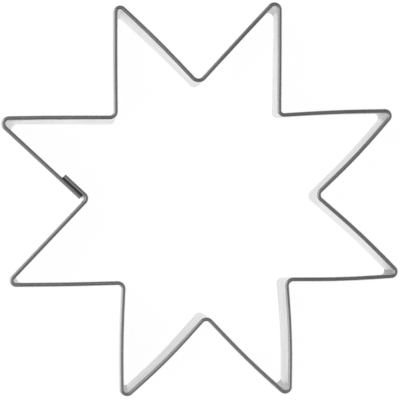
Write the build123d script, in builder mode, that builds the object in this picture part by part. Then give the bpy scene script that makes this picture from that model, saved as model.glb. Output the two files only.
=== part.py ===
"""Eight-pointed star cookie cutter: one strip of thin steel, hemmed along its upper edge, bent into a star
and spot-welded where its two ends lap.

Origin at the middle of the box that the star's points reach, on the plane of the cutting edge. +Z runs up to
the hem. A notch of the star lies along +X, and the walls are told off counterclockwise from there.
"""
from build123d import *
from math import cos, pi, sin
import os

os.makedirs("parts", exist_ok=True)

# Driving dimensions, in millimetres

BAND_HEIGHT = 20.0
SHEET = 0.35

HEM_WIDTH = 1.1
HEM_DEPTH = 3.0
CROWN_FLAT = 0.1

TIP_RADIUS = 51.8
NOTCH_RADIUS = 27.8
TIP_BEND = 1.3
TIP_FOOT_BEND = 1.7
NOTCH_BEND = 1.5
NOTCH_FOOT_BEND = 0.8

# The star's own middle, against the middle of the box that its uneven points reach
CENTRE_X = 0.19
CENTRE_Y = 0.32

LAP_LENGTH = 6.4
LAP_STOP = 1.4
LAP_HEM_GAP = 0.05
SEAM_GAP = 0.05
SEAM_CLOSED_HEIGHT = 12.0

WELD_DIAMETER = 2.4
WELD_DIMPLE = 0.06
WELD_COUNT = 2
WELD_FIRST_HEIGHT = 3.6
WELD_PITCH = 5.2

# How far each wall lies off a regular star, as shares of the tip radius, counterclockwise from the notch
# at +X. Each row: outward shift at the wall's first end, the same at its second end, outward bow at its
# middle, outward shift of the foot against the hem at the first end, and at the second end.

wall_shares = (
    (-0.001, -0.004, 0.013, 0.000, -0.002),
    (0.001, -0.003, 0.006, 0.009, 0.009),
    (-0.004, 0.010, 0.001, 0.006, 0.013),
    (-0.002, -0.006, 0.001, 0.000, 0.000),
    (-0.001, 0.008, 0.009, 0.003, -0.010),
    (-0.011, 0.005, 0.002, 0.000, 0.000),
    (0.006, 0.013, 0.002, -0.011, -0.008),
    (0.005, 0.001, 0.000, 0.000, 0.000),
    (0.001, -0.002, 0.000, 0.000, 0.000),
    (-0.007, 0.002, 0.003, 0.004, 0.004),
    (-0.011, 0.010, 0.008, 0.000, 0.000),
    (-0.005, 0.014, 0.015, -0.007, -0.011),
    (0.001, 0.005, 0.011, 0.000, 0.000),
    (0.005, 0.008, 0.012, -0.001, -0.006),
    (0.007, 0.001, 0.009, 0.006, 0.006),
    (0.000, 0.000, 0.011, 0.001, 0.000),
)
CORNERS = len(wall_shares)

# How far the radius of each corner's bend lies off that of its kind, as shares of it, at the hem and at the
# foot, in the same order

bend_shares = (
    (-0.04, 0.25), (-0.09, -0.09), (-0.25, -0.12), (0.01, 0.18),
    (0.20, 0.00), (-0.12, -0.09), (0.00, -0.12), (0.06, 0.24),
    (-0.20, 0.00), (-0.18, 0.06), (-0.08, 0.00), (-0.01, -0.06),
    (-0.03, 0.00), (-0.07, 0.12), (0.03, -0.12), (-0.12, -0.12),
)

# The lap is on the wall that comes after this many others
LAP_COUNT = 7

# The bow of a wall is a soft bend at its middle that reaches this share of the wall's length to each side
bow_reach_share = 0.25


class Run:
    """A straight line in plan, from one point to another."""

    def __init__(self, start, end):
        self.start = start
        self.end = end
        self.along = (end - start).normalized()
        self.out = Vector(self.along.Y, -self.along.X)

    def moved(self, start_shift, end_shift):
        """The line with its two ends shifted to its outer side."""
        return Run(self.start + self.out * start_shift, self.end + self.out * end_shift)

    def meets(self, other):
        """The point where this line and another one cross."""
        gap = other.start - self.start
        return self.start + self.along * (gap.dot(other.out) / self.along.dot(other.out))


def nominal_corner(index):
    """Corner of the regular star: even ones are notches, odd ones are tips."""
    radius = TIP_RADIUS if index % 2 else NOTCH_RADIUS
    angle = 2 * pi * index / CORNERS
    return Vector(CENTRE_X + radius * cos(angle), CENTRE_Y + radius * sin(angle))


def wall_line(index, lean):
    """Hem line of one wall, leaned out to its foot by the given share of its full lean."""
    first, second, _, foot_first, foot_second = wall_shares[index % CORNERS]
    wall = Run(nominal_corner(index), nominal_corner(index + 1))
    return wall.moved((first + lean * foot_first) * TIP_RADIUS, (second + lean * foot_second) * TIP_RADIUS)


def strip_route(lean, lap_spacing):
    """Corner points and bend radii of the strip in plan, from its inner end round the star to its outer end.

    The strip starts inside its own last wall, lap_spacing away from it.
    """
    outer_lap = wall_line(LAP_COUNT, lean)
    inner_lap = outer_lap.moved(-lap_spacing, -lap_spacing)
    walls = [inner_lap] + [wall_line(LAP_COUNT + step, lean) for step in range(1, CORNERS + 1)]
    lap_corner = outer_lap.meets(walls[1])
    end = lap_corner - outer_lap.along * LAP_STOP
    start = end - outer_lap.along * LAP_LENGTH - outer_lap.out * lap_spacing

    points = [start]
    radii = []
    for step in range(1, CORNERS + 1):
        index = LAP_COUNT + step
        corner = walls[step - 1].meets(walls[step])
        points.append(corner)
        radii.append(corner_bend(index, lean))
        bow = wall_shares[index % CORNERS][2]
        if bow:
            next_corner = walls[step].meets(wall_line(index + 1, lean))
            wall = Run(corner, next_corner)
            length = (next_corner - corner).length
            points.append(corner + wall.along * length / 2 + wall.out * bow * TIP_RADIUS)
            half_turn = 2 * bow * TIP_RADIUS / length
            radii.append(bow_reach_share * length / half_turn)
    points.append(end)
    return points, radii


def corner_bend(index, lean):
    """Bend radius of one corner on the hem line, or that share of the way on to its radius at the foot."""
    hem_share, foot_share = bend_shares[index % CORNERS]
    hem_bend, foot_bend = (TIP_BEND, TIP_FOOT_BEND) if index % 2 else (NOTCH_BEND, NOTCH_FOOT_BEND)
    at_hem = hem_bend * (1 + hem_share)
    at_foot = foot_bend * (1 + foot_share)
    return at_hem + lean * (at_foot - at_hem)


def beside(route, shift):
    """The route moved sideways to the outside of the star, its bends kept on their own centres."""
    points, radii = route
    runs = [Run(a, b).moved(shift, shift) for a, b in zip(points, points[1:])]
    turns = [a.along.cross(b.along).Z for a, b in zip(runs, runs[1:])]
    corners = [a.meets(b) for a, b in zip(runs, runs[1:])]
    moved_radii = [radius + shift if turn > 0 else radius - shift for radius, turn in zip(radii, turns)]
    return [runs[0].start] + corners + [runs[-1].end], moved_radii


def strip_section(route, inner_shift, outer_shift, height):
    """Level section at one height through what lies between two shifts off the route."""
    inner_points, inner_radii = beside(route, inner_shift)
    outer_points, outer_radii = beside(route, outer_shift)
    with BuildSketch(Plane.XY.offset(height)) as section:
        with BuildLine():
            FilletPolyline(*inner_points, radius=inner_radii)
            FilletPolyline(*outer_points, radius=outer_radii)
            Line(inner_points[0], outer_points[0])
            Line(inner_points[-1], outer_points[-1])
        make_face()
    return section.sketch


# Places that follow from the dimensions

hem_half = HEM_WIDTH / 2
wall_inside = -hem_half
wall_outside = SHEET - hem_half
hem_start = BAND_HEIGHT - HEM_DEPTH
crown_round = hem_half - CROWN_FLAT / 2
open_spacing = HEM_WIDTH + LAP_HEM_GAP
closed_spacing = SHEET + SEAM_GAP

hem_route = strip_route(0, open_spacing)
seam_route = strip_route(1 - SEAM_CLOSED_HEIGHT / hem_start, closed_spacing)
foot_route = strip_route(1, closed_spacing)

# Frame of the welds: on the lap wall, in the middle of the lap and of its two layers, facing outward

lap_wall = wall_line(LAP_COUNT, 0)
lap_corner = lap_wall.meets(wall_line(LAP_COUNT + 1, 0))
weld_foot = lap_corner - lap_wall.along * (LAP_STOP + LAP_LENGTH / 2)
weld_foot = weld_foot - lap_wall.out * (hem_half + SEAM_GAP / 2)
weld_plane = Plane(origin=weld_foot, x_dir=lap_wall.along, z_dir=lap_wall.out)
weld_stack = 2 * SHEET + SEAM_GAP
weld_radius = WELD_DIAMETER / 2
weld_places = [(0, WELD_FIRST_HEIGHT + step * WELD_PITCH) for step in range(WELD_COUNT)]

# The strip: a wall that leans between its foot and its hem, and the hem folded outward along its top

with BuildPart() as star_band:
    foot_section = strip_section(foot_route, wall_inside, wall_outside, 0)
    seam_section = strip_section(seam_route, wall_inside, wall_outside, SEAM_CLOSED_HEIGHT)
    shoulder_section = strip_section(hem_route, wall_inside, wall_outside, hem_start)
    loft(sections=[foot_section, seam_section, shoulder_section], ruled=True)

    extrude(strip_section(hem_route, wall_inside, hem_half, hem_start), amount=HEM_DEPTH)
    throat_section = strip_section(hem_route, wall_outside, hem_half - SHEET, hem_start)
    extrude(throat_section, amount=HEM_DEPTH - SHEET, mode=Mode.SUBTRACT)
    crown_edges = star_band.faces().sort_by(Axis.Z)[-1].edges()
    for end in (hem_route[0][0], hem_route[0][-1]):
        crown_edges = crown_edges.sort_by_distance(Vector(end.X, end.Y, BAND_HEIGHT))[1:]
    fillet(crown_edges, radius=crown_round)

    with BuildSketch(weld_plane.offset(-weld_stack)):
        with Locations(*weld_places):
            Circle(weld_radius)
    extrude(amount=2 * weld_stack, mode=Mode.SUBTRACT)

# The welds: nuggets that fill their holes through both layers, dished where the electrodes pressed

with BuildPart() as spot_welds:
    with BuildSketch(weld_plane.offset(-weld_stack / 2)):
        with Locations(*weld_places):
            Circle(weld_radius)
    extrude(amount=weld_stack)
    dish_radius = (weld_radius ** 2 + WELD_DIMPLE ** 2) / (2 * WELD_DIMPLE)
    for side in (-1, 1):
        dish_plane = weld_plane.offset(side * (weld_stack / 2 - WELD_DIMPLE + dish_radius))
        with Locations(*[dish_plane.location * Location(place) for place in weld_places]):
            Sphere(dish_radius, mode=Mode.SUBTRACT)

star_band.part.label = "star_band"
spot_welds.part.label = "spot_welds"
export_step(star_band.part, "parts/star_band.step")
export_step(spot_welds.part, "parts/spot_welds.step")
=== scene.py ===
"""Looks for the star cookie cutter: bright rolled sheet steel on a white table, seen from high above.

All lengths are in metres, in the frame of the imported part: the cutting edge stands on z = 0, with the hem on
top. A name that ends in FADE holds two values: where a mark begins to show, and where it shows in full.
"""
import math

import bpy
from mathutils import Matrix, Vector


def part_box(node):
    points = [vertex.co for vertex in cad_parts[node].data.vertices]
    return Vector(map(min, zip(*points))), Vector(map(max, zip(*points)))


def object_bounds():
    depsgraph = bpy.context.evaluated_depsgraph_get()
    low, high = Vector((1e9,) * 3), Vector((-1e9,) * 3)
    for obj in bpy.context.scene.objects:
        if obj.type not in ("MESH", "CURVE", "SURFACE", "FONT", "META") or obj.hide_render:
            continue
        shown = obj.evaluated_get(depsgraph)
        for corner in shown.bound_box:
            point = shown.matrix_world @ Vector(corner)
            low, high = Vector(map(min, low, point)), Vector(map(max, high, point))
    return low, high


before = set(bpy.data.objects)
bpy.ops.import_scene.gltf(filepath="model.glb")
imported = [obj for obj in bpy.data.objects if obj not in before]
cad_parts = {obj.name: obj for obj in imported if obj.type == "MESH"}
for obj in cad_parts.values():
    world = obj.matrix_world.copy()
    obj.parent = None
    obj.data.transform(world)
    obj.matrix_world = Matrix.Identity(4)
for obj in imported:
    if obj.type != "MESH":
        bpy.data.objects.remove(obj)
cad_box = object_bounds()


def grey(level, warmth=0.0):
    """A linear grey, made warmer by a small amount."""
    return (level * (1 + warmth), level, level * (1 - warmth), 1.0)


# The camera hangs high over the table, a little to the left of the star, and looks at a point near its
# middle

VIEW_WIDTH = 0.0960
RIM_HEIGHT = cad_box[1][2]
AIM = Vector((-0.00009, -0.00005, RIM_HEIGHT))
CAMERA_OFFSET = Vector((-0.0562, -0.0082, 0.88))
ROLL = math.radians(1.58)
SENSOR = 36.0
CLIP_END = 20.0

# Light, as what a surface that faces it sees: 1 shows as white

ROOM = 0.145
HORIZON = 0.9
HORIZON_HEIGHT = 0.06

# Lamps, as azimuth and elevation in degrees, width, height and brightness. Azimuth 180 is on the left.

LAMP_DISTANCE = 1.0
LAMPS = {
    "left_window": (168, 28, 1.05, 0.85, 0.50),
    "left_bounce": (172, 64, 0.80, 0.80, 0.32),
    "right_wall": (2, 35, 1.00, 1.00, 0.07),
}

# The table: what it throws back on the cutter, and how it shows to the camera and in reflections

TABLE_SIZE = 4.0
TABLE_COLOUR = grey(0.8)
TABLE_SHADED_COLOUR = grey(0.3)
TABLE_GLOW = 0.94

# Patterns of noise, as the size of a patch along x, y and z, how finely it breaks up, and a shift that keeps
# it apart from the others

PATTERNS = {
    "grain": ((0.014, 0.014, 0.00045), 4.0, 0.0),
    "fine_grain": ((0.004, 0.004, 0.00014), 2.0, 7.0),
    "smudge": ((0.007, 0.007, 0.005), 4.0, 3.0),
    "speck": ((0.0009, 0.0009, 0.0009), 3.0, 5.0),
    "flutes": ((0.0006, 0.0006, 0.03), 2.0, 11.0),
    "waves": ((0.018, 0.018, 0.022), 1.0, 13.0),
    "mottle": ((0.0004, 0.0004, 0.0004), 4.0, 0.0),
}
SCRATCH_SIZES = (0.012, 0.0003, 0.0003)
SCRATCH_DETAIL = 1.0
SCRATCH_TURNS = ((0.5, 0.1, 0.3), (-0.7, 0.4, 1.4), (1.2, -0.5, 2.3))
GRAIN_FADE = (0.35, 0.65)
SPECK_FADE = (0.66, 0.74)
SCRATCH_FADE = (0.70, 0.76)

# Press marks beside the bends. A reach is how far a place is from the star's middle, seen from above.

TIP_REACH = 0.0488
NOTCH_REACH = 0.0292
PRESS_START = 0.0012
PRESS_FULL = 0.0004
TIP_PRESS_FADE = (TIP_REACH - PRESS_START, TIP_REACH + PRESS_FULL)
NOTCH_PRESS_FADE = (NOTCH_REACH + PRESS_START, NOTCH_REACH - PRESS_FULL)
CROWN_DEPTH = 0.0007
PRESS_DEPTH = 0.0020
PRESS_HEIGHT_FADE = (RIM_HEIGHT - CROWN_DEPTH, RIM_HEIGHT - PRESS_DEPTH)

# Crown of the hem, rubbed brighter along the lower part of the star and duller on one wall at the top

CROWN_START = 0.0011
CROWN_FULL = 0.0005
CROWN_FADE = (RIM_HEIGHT - CROWN_START, RIM_HEIGHT - CROWN_FULL)
BRIGHT_CROWN_MIDDLE = (-0.003, -0.041, 0.0)
BRIGHT_CROWN_REACH = 0.034
DULL_CROWN_MIDDLE = (0.011, 0.0385, 0.0)
DULL_CROWN_REACH = 0.0095

# Faces that look at the star's middle, and painted shade inside the star's points. A facing is how far behind
# a face's plane the middle lies, and is negative where the face looks at it. The painted shade is given for
# each point's inside, counterclockwise from the first point past +X.

INNER_FACING_FADE = (0.0, -0.004)
POINT_FACING_FADE = (-0.028, -0.040)
POINT_REACH_FADE = (0.0440, 0.0460)
POINT_SHADE = (0.52, 0.48, 0.21, 0.23, 0.61, 0.76, 0.60, 1.00)
FIRST_POINT = math.radians(22.5)
POINT_TOWARD_FADE = (0.034, 0.042)

# Painted shade on stretches of the inner face, as their middles in plan and how dark they are

WALL_SHADE_REACH = 0.016
WALL_SHADE_FADE = (WALL_SHADE_REACH, WALL_SHADE_REACH / 2)
WALL_SHADE_STRETCHES = ((-0.0097, -0.0379, 0.62), (0.0380, 0.0103, 0.42), (0.0203, -0.0340, 0.22))

# Painted shade under the hem's lip, and in the slit between the two hems of the lap

HEM_DEPTH = 0.003
HEM_FOOT = RIM_HEIGHT - HEM_DEPTH
CREVICE_SHADE_BELOW = 0.0007
CREVICE_SHADE_ABOVE = 0.0004
CREVICE_SHADE_CORE = 0.0001
CREVICE_SHADE_BELOW_FADE = (HEM_FOOT - CREVICE_SHADE_BELOW, HEM_FOOT - CREVICE_SHADE_CORE)
CREVICE_SHADE_ABOVE_FADE = (HEM_FOOT + CREVICE_SHADE_ABOVE, HEM_FOOT + CREVICE_SHADE_CORE)
LIP_SHADE = 0.55
LAP_FACING = math.radians(225.4)
LAP_OUT = Vector((math.cos(LAP_FACING), math.sin(LAP_FACING), 0.0))
SLIT_FADE = (0.00034, 0.0001)
SLIT_END_FADE = (0.0040, 0.0034)

# Heat round the welds, by the distance from the middle of the nearest one, and the bright cutting edge

WELD_RADIUS = 0.0012
STRAW_FADE = (0.0034, 0.0017)
BROWN_FADE = (0.0020, 0.0013)
CUT_EDGE_FADE = (0.0003, 0.0001)

# The sheet's own colour, and what lies over it from the lowest layer up: how much it covers, and its colour

SHEET_COLOURS = (grey(0.70), grey(0.81))
SHEET_LAYERS = {
    "grain_lines": (0.35, grey(0.66)),
    "specks": (0.35, grey(0.45, 0.03)),
    "scratches": (0.35, grey(0.92)),
    "press_marks": (0.45, grey(0.60)),
    "bright_crown": (0.60, grey(0.98)),
    "dull_crown": (0.36, grey(0.48)),
    # Painted shade on some stretches of the inner face
    "wall_shade": (0.50, grey(0.50)),
    # Painted shade inside the points
    "point_shade": (1.00, grey(0.45)),
    "straw": (0.60, (0.72, 0.58, 0.36, 1.0)),
    "brown": (0.70, (0.34, 0.24, 0.19, 1.0)),
    # Painted shade under the hem's lip and in the lap's slit
    "crevice_shade": (1.00, grey(0.42, 0.01)),
    "cut_edge": (1.00, grey(0.86)),
}
# Specular tints that carry painted shade: on the darker stretches of the inner face, and inside the points
WALL_SHADE_EDGE_TINT = 0.16
POINT_SHADE_EDGE_TINT = grey(0.58)

# The sheet's roughness, what each mark adds to it, and how high each mark stands

SMUDGE_FADE = (0.3, 0.7)
SHEET_ROUGHNESS = (0.15, 0.25)
ADDED_ROUGHNESS = {"grain": 0.08, "crevice_shade": 0.25, "straw": 0.09, "scratches": 0.12}
SHEET_BUMPS = {
    "waves": 0.00022,
    "press_marks": 0.00003,
    "grain": 0.000012,
    "fine_grain": 0.000003,
    "unscratched": 0.000006,
}

# The welds: mottled, with a dark rim and faint rings

WELD_COLOURS = (grey(0.36, 0.04), grey(0.58, 0.02))
WELD_RIM_FADE = (0.0008, 0.00118)
WELD_RIM_COVER = 0.8
WELD_RIM_COLOUR = (0.22, 0.17, 0.15, 1.0)
MOTTLE_FADE = (0.3, 0.7)
WELD_ROUGHNESS = (0.36, 0.52)
MOTTLE_BUMP = 0.00003
RING_BUMP = 0.000006
RING_PITCH = 0.0004


class Nodes:
    """The node tree of a material or world. Inputs map sockets to values or to other nodes' sockets."""

    def __init__(self, owner, output="ShaderNodeOutputMaterial"):
        owner.use_nodes = True
        self.owner = owner
        self.output = output
        self.tree = owner.node_tree
        self.tree.nodes.clear()
        self.coordinates = self.add("ShaderNodeTexCoord").outputs
        self.place = self.coordinates["Object"]

    def add(self, kind, inputs=None, **settings):
        """A new node with its settings and inputs."""
        made = self.tree.nodes.new(kind)
        for name, value in settings.items():
            setattr(made, name, value)
        for name, value in (inputs or {}).items():
            self.feed(made.inputs[name], value)
        return made

    def feed(self, socket, value):
        """Gives an input a value, or links it to another node's output."""
        if isinstance(value, bpy.types.NodeSocket):
            self.tree.links.new(value, socket)
        else:
            socket.default_value = value

    def finish(self, shader):
        """Sends a shader to the output."""
        self.add(self.output, {"Surface": shader})
        return self.owner

    def combine(self, operation, *values):
        """Adds, multiplies or compares numbers, one after another."""
        result = values[0]
        for value in values[1:]:
            result = self.add("ShaderNodeMath", {0: result, 1: value}, operation=operation).outputs[0]
        return result

    def vector(self, operation, second, first=None):
        """A sum of two vectors, whose first is the place on the object unless another is given."""
        return self.add("ShaderNodeVectorMath", {0: first or self.place, 1: second}, operation=operation)

    def dot(self, direction, first=None):
        """How far the place on the object, or another vector, reaches in a direction."""
        return self.vector("DOT_PRODUCT", direction, first).outputs["Value"]

    def plan_distance(self, point):
        """How far a place is from a point, seen from above."""
        offset = self.vector("SUBTRACT", point)
        level_offset = self.vector("MULTIPLY", (1.0, 1.0, 0.0), offset.outputs[0])
        return self.vector("LENGTH", (0.0, 0.0, 0.0), level_offset.outputs[0]).outputs["Value"]

    def ease(self, value, start, end, low=0.0, high=1.0):
        """Goes smoothly from low to high as a value goes from start to end, and stays there."""
        inputs = {"Value": value, "From Min": start, "From Max": end, "To Min": low, "To Max": high}
        return self.add("ShaderNodeMapRange", inputs, interpolation_type="SMOOTHSTEP").outputs["Result"]

    def noise(self, sizes, detail, shift, turn=(0.0, 0.0, 0.0)):
        """Noise whose patches have the given sizes along x, y and z, once turned."""
        moved = self.add("ShaderNodeMapping", {"Vector": self.place, "Rotation": turn}, vector_type="POINT")
        scaled = self.vector("MULTIPLY", tuple(1 / size for size in sizes), moved.outputs[0])
        placed = self.vector("ADD", (shift, shift, shift), scaled.outputs[0])
        inputs = {"Vector": placed.outputs[0], "Scale": 1.0, "Detail": detail}
        return self.add("ShaderNodeTexNoise", inputs).outputs["Fac"]

    def mix(self, factor, first, second):
        """Colour between two colours."""
        made = self.add("ShaderNodeMix", {0: factor}, data_type="RGBA")
        sockets = [socket for socket in made.inputs if socket.type == "RGBA"]
        for socket, value in zip(sockets, (first, second)):
            self.feed(socket, value)
        return [socket for socket in made.outputs if socket.type == "RGBA"][0]

    def bump(self, height, distance, normal=None):
        """Raises the surface by up to a distance, over another bump."""
        inputs = {"Height": height, "Distance": distance, "Strength": 1.0}
        if normal:
            inputs["Normal"] = normal
        return self.add("ShaderNodeBump", inputs).outputs["Normal"]


def weld_centres():
    """The middles of the two welds, one over the other on the lap."""
    low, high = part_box("spot_welds")
    middle = (Vector(low) + Vector(high)) / 2
    return [Vector((middle.x, middle.y, z)) for z in (low[2] + WELD_RADIUS, high[2] - WELD_RADIUS)]


def from_nearest_weld(nodes):
    """How far a point is from the middle of the nearest weld."""
    distances = [nodes.vector("DISTANCE", tuple(centre)).outputs["Value"] for centre in weld_centres()]
    return nodes.combine("MINIMUM", *distances)


def surface_marks(nodes):
    """Marks that lie all over the sheet: grain, smudges, soft waves, specks and scratches."""
    marks = {name: nodes.noise(*PATTERNS[name]) for name in ("grain", "fine_grain", "smudge", "waves")}
    marks["grain_lines"] = nodes.ease(marks["grain"], *GRAIN_FADE)
    marks["specks"] = nodes.ease(nodes.noise(*PATTERNS["speck"]), *SPECK_FADE)
    lines = []
    for turn in SCRATCH_TURNS:
        line = nodes.noise(SCRATCH_SIZES, SCRATCH_DETAIL, turn[2], turn)
        lines.append(nodes.ease(line, *SCRATCH_FADE))
    marks["scratches"] = nodes.combine("MAXIMUM", *lines)
    marks["unscratched"] = nodes.combine("SUBTRACT", 1.0, marks["scratches"])
    return marks


def press_marks(nodes, height, reach):
    """Upright lines that the bending tool left beside the points and the notches, below the hem's crown."""
    beside_tip = nodes.ease(reach, *TIP_PRESS_FADE)
    beside_notch = nodes.ease(reach, *NOTCH_PRESS_FADE)
    beside_bend = nodes.combine("MAXIMUM", beside_tip, beside_notch)
    flutes = nodes.noise(*PATTERNS["flutes"])
    return nodes.combine("MULTIPLY", beside_bend, flutes, nodes.ease(height, *PRESS_HEIGHT_FADE))


def crown_stretch(nodes, height, middle, reach):
    """A stretch of the hem's crown round a place, fading out with the distance from it."""
    near = nodes.ease(nodes.plan_distance(middle), reach, reach / 2)
    return nodes.combine("MULTIPLY", nodes.ease(height, *CROWN_FADE), near)


def painted_point_shade(nodes, facing, reach):
    """Painted shade in the insides of the star's points, stronger at some points than at others."""
    faces_middle = nodes.ease(facing, *POINT_FACING_FADE)
    far_out = nodes.ease(reach, *POINT_REACH_FADE)
    point_shades = []
    for index, shade_amount in enumerate(POINT_SHADE):
        angle = FIRST_POINT + 2 * math.pi * index / len(POINT_SHADE)
        toward = nodes.dot((math.cos(angle), math.sin(angle), 0.0))
        point_shades.append(nodes.ease(toward, *POINT_TOWARD_FADE, 0.0, shade_amount))
    return nodes.combine("MULTIPLY", faces_middle, far_out, nodes.combine("MAXIMUM", *point_shades))


def painted_wall_shade(nodes, inner_face):
    """Painted shade: darker stretches of the inner face."""
    stretches = []
    for x, y, amount in WALL_SHADE_STRETCHES:
        away = nodes.plan_distance((x, y, 0.0))
        stretches.append(nodes.ease(away, *WALL_SHADE_FADE, 0.0, amount))
    return nodes.combine("MULTIPLY", nodes.combine("MAXIMUM", *stretches), inner_face)


def painted_crevice_shade(nodes, height, inner_face):
    """Painted shade under the hem's lip, and in the slit between the two hems of the lap."""
    outer_face = nodes.combine("SUBTRACT", 1.0, inner_face)
    above = nodes.ease(height, *CREVICE_SHADE_BELOW_FADE)
    below = nodes.ease(height, *CREVICE_SHADE_ABOVE_FADE)
    under_lip = nodes.combine("MULTIPLY", above, below, outer_face, LIP_SHADE)
    lap_middle = tuple(weld_centres()[0])
    from_lap = nodes.vector("SUBTRACT", lap_middle).outputs[0]
    off_slit = nodes.add("ShaderNodeMath", {0: nodes.dot(tuple(LAP_OUT), from_lap)}, operation="ABSOLUTE")
    across_slit = nodes.ease(off_slit.outputs[0], *SLIT_FADE)
    along_slit = nodes.ease(nodes.plan_distance(lap_middle), *SLIT_END_FADE)
    in_slit = nodes.combine("MULTIPLY", across_slit, along_slit)
    return nodes.combine("MAXIMUM", under_lip, in_slit)


def sheet_marks(nodes):
    """How strongly each mark of the sheet shows, by its name."""
    height = nodes.add("ShaderNodeSeparateXYZ", {0: nodes.place}).outputs["Z"]
    reach = nodes.plan_distance((0.0, 0.0, 0.0))
    facing = nodes.dot(nodes.add("ShaderNodeNewGeometry").outputs["Normal"])
    inner_face = nodes.ease(facing, *INNER_FACING_FADE)
    weld = from_nearest_weld(nodes)
    marks = surface_marks(nodes)
    marks["press_marks"] = press_marks(nodes, height, reach)
    marks["point_shade"] = painted_point_shade(nodes, facing, reach)
    marks["bright_crown"] = crown_stretch(nodes, height, BRIGHT_CROWN_MIDDLE, BRIGHT_CROWN_REACH)
    marks["dull_crown"] = crown_stretch(nodes, height, DULL_CROWN_MIDDLE, DULL_CROWN_REACH)
    marks["wall_shade"] = painted_wall_shade(nodes, inner_face)
    marks["crevice_shade"] = painted_crevice_shade(nodes, height, inner_face)
    marks["straw"] = nodes.ease(weld, *STRAW_FADE)
    marks["brown"] = nodes.ease(weld, *BROWN_FADE)
    marks["cut_edge"] = nodes.ease(height, *CUT_EDGE_FADE)
    return marks


def sheet_steel():
    """Bright rolled steel, with the marks of rolling, bending, welding and use, and painted shade in crevices,
    inside the points and on some stretches of the inner face.
    """
    nodes = Nodes(bpy.data.materials.new("sheet_steel"))
    marks = sheet_marks(nodes)

    colour = nodes.mix(marks["smudge"], *SHEET_COLOURS)
    for name, (cover, layer_colour) in SHEET_LAYERS.items():
        colour = nodes.mix(nodes.combine("MULTIPLY", marks[name], cover), colour, layer_colour)

    # The specular tint darkens with the painted shade of the inner face's stretches and of the points' insides
    edge_tint = nodes.mix(nodes.combine("MULTIPLY", marks["wall_shade"], WALL_SHADE_EDGE_TINT), grey(1.0), grey(0.0))
    edge_tint = nodes.mix(marks["point_shade"], edge_tint, POINT_SHADE_EDGE_TINT)

    roughness = nodes.ease(marks["smudge"], *SMUDGE_FADE, *SHEET_ROUGHNESS)
    for name, amount in ADDED_ROUGHNESS.items():
        roughness = nodes.combine("ADD", roughness, nodes.combine("MULTIPLY", marks[name], amount))

    normal = None
    for name, distance in SHEET_BUMPS.items():
        normal = nodes.bump(marks[name], distance, normal)

    inputs = {"Base Color": colour, "Metallic": 1.0, "Roughness": roughness, "Specular Tint": edge_tint,
              "Normal": normal}
    return nodes.finish(nodes.add("ShaderNodeBsdfPrincipled", inputs).outputs["BSDF"])


def weld_steel():
    """Remelted steel: matt and mottled, with faint rings and a darker rim that the electrode left."""
    nodes = Nodes(bpy.data.materials.new("weld_steel"))
    weld = from_nearest_weld(nodes)
    mottle = nodes.noise(*PATTERNS["mottle"])
    colour = nodes.mix(mottle, *WELD_COLOURS)
    colour = nodes.mix(nodes.ease(weld, *WELD_RIM_FADE, 0.0, WELD_RIM_COVER), colour, WELD_RIM_COLOUR)
    roughness = nodes.ease(mottle, *MOTTLE_FADE, *WELD_ROUGHNESS)
    ring_angle = nodes.combine("MULTIPLY", weld, 2 * math.pi / RING_PITCH)
    rings = nodes.add("ShaderNodeMath", {0: ring_angle}, operation="SINE").outputs[0]
    normal = nodes.bump(rings, RING_BUMP, nodes.bump(mottle, MOTTLE_BUMP))
    inputs = {"Base Color": colour, "Metallic": 1.0, "Roughness": roughness, "Normal": normal}
    return nodes.finish(nodes.add("ShaderNodeBsdfPrincipled", inputs).outputs["BSDF"])


def dress(name, material):
    """Gives every material slot of a CAD node the same material."""
    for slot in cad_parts[name].material_slots:
        slot.material = material


def make_table():
    """A white table that shows white to the camera and in reflections, less the object's soft shadow."""
    bpy.ops.mesh.primitive_plane_add(size=TABLE_SIZE, location=(0, 0, 0))
    table = bpy.context.object
    table.name = "table"
    nodes = Nodes(bpy.data.materials.new("table_white"))
    paths = nodes.add("ShaderNodeLightPath").outputs
    seen_rays = ("Is Camera Ray", "Is Glossy Ray", "Is Transmission Ray")
    shown = nodes.combine("MAXIMUM", *[paths[ray] for ray in seen_rays])
    plain = nodes.add("ShaderNodeBsdfDiffuse", {"Color": TABLE_COLOUR})
    shaded = nodes.add("ShaderNodeBsdfDiffuse", {"Color": TABLE_SHADED_COLOUR})
    glow = nodes.add("ShaderNodeEmission", {"Color": grey(1.0), "Strength": TABLE_GLOW})
    bright = nodes.add("ShaderNodeAddShader", {0: shaded.outputs[0], 1: glow.outputs[0]})
    mixed = nodes.add("ShaderNodeMixShader", {0: shown, 1: plain.outputs[0], 2: bright.outputs[0]})
    table.data.materials.append(nodes.finish(mixed.outputs[0]))


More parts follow.
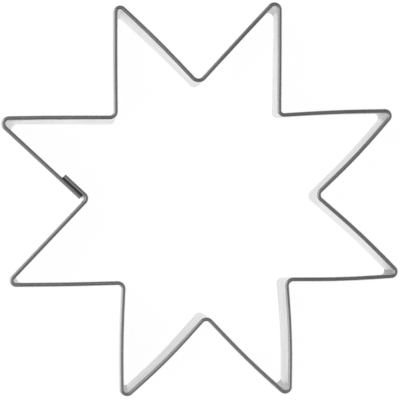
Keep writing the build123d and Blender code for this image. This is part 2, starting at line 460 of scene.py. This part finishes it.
def make_room():
    """The room round the table: white behind the object, bright along the horizon and dim overhead."""
    world = bpy.data.worlds.new("room")
    bpy.context.scene.world = world
    nodes = Nodes(world, "ShaderNodeOutputWorld")
    rise = nodes.add("ShaderNodeSeparateXYZ", {0: nodes.coordinates["Generated"]}).outputs["Z"]
    level = nodes.ease(rise, 0.0, HORIZON_HEIGHT, HORIZON, ROOM)
    unseen = nodes.add("ShaderNodeBackground", {"Color": level})
    seen = nodes.add("ShaderNodeBackground", {"Color": grey(1.0)})
    shown = nodes.add("ShaderNodeLightPath").outputs["Is Camera Ray"]
    mixed = nodes.add("ShaderNodeMixShader", {0: shown, 1: unseen.outputs[0], 2: seen.outputs[0]})
    nodes.finish(mixed.outputs[0])


def make_lamp(name, azimuth, elevation, width, height, brightness):
    """A soft rectangle of light that faces the cutter."""
    around, up = math.radians(azimuth), math.radians(elevation)
    direction = Vector((math.cos(up) * math.cos(around), math.cos(up) * math.sin(around), math.sin(up)))
    data = bpy.data.lights.new(name, "AREA")
    data.shape = "RECTANGLE"
    data.size = width
    data.size_y = height
    data.energy = brightness * math.pi * width * height
    lamp = bpy.data.objects.new(name, data)
    lamp.location = direction * LAMP_DISTANCE
    lamp.rotation_euler = direction.to_track_quat("Z", "Y").to_euler()
    bpy.context.collection.objects.link(lamp)


def make_camera():
    """Looks down at the star along a steep line, rolled a little as the photograph is."""
    data = bpy.data.cameras.new("camera")
    data.sensor_width = SENSOR
    data.lens = SENSOR * CAMERA_OFFSET.length / VIEW_WIDTH
    data.clip_end = CLIP_END
    camera = bpy.data.objects.new("camera", data)
    bpy.context.collection.objects.link(camera)
    back = CAMERA_OFFSET.normalized()
    right = Vector((math.sin(ROLL), math.cos(ROLL), 0.0)).cross(back).normalized()
    camera.location = AIM + CAMERA_OFFSET
    camera.rotation_euler = Matrix((right, back.cross(right), back)).transposed().to_euler()
    bpy.context.scene.camera = camera


dress("star_band", sheet_steel())
dress("spot_welds", weld_steel())
make_table()
make_room()
for lamp_name, lamp_values in LAMPS.items():
    make_lamp(lamp_name, *lamp_values)
make_camera()
bpy.context.scene.view_settings.view_transform = "Standard"
